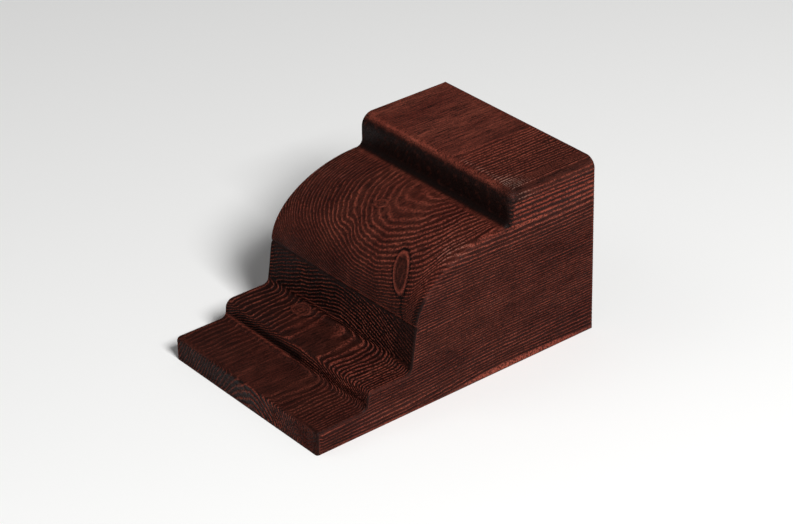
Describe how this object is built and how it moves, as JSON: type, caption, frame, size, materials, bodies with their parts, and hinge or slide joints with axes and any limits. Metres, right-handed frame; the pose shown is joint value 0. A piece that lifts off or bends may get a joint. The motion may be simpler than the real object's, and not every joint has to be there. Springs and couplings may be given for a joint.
{
  "type": "corbel",
  "caption": "Stepped and rounded bracket end for a ceiling beam, cast in rigid foam with a hewn wood grain, one solid piece with a flat wall face.",
  "frame": {"origin": "centre of the flat face that goes against the wall", "axes": "+Y out of the wall face, towards the wall; the corbel reaches 293 mm towards -Y. +Z from the long flat face up to the top of the block. +X across the width."},
  "size_m": [0.19, 0.293, 0.162],
  "materials": {
    "stained_foam": "dark red-brown stain and satin clear coat over a wood grain cast in rigid foam"
  },
  "bodies": {
    "root": {"corbel": "stained_foam"}
  },
  "joints": []
}
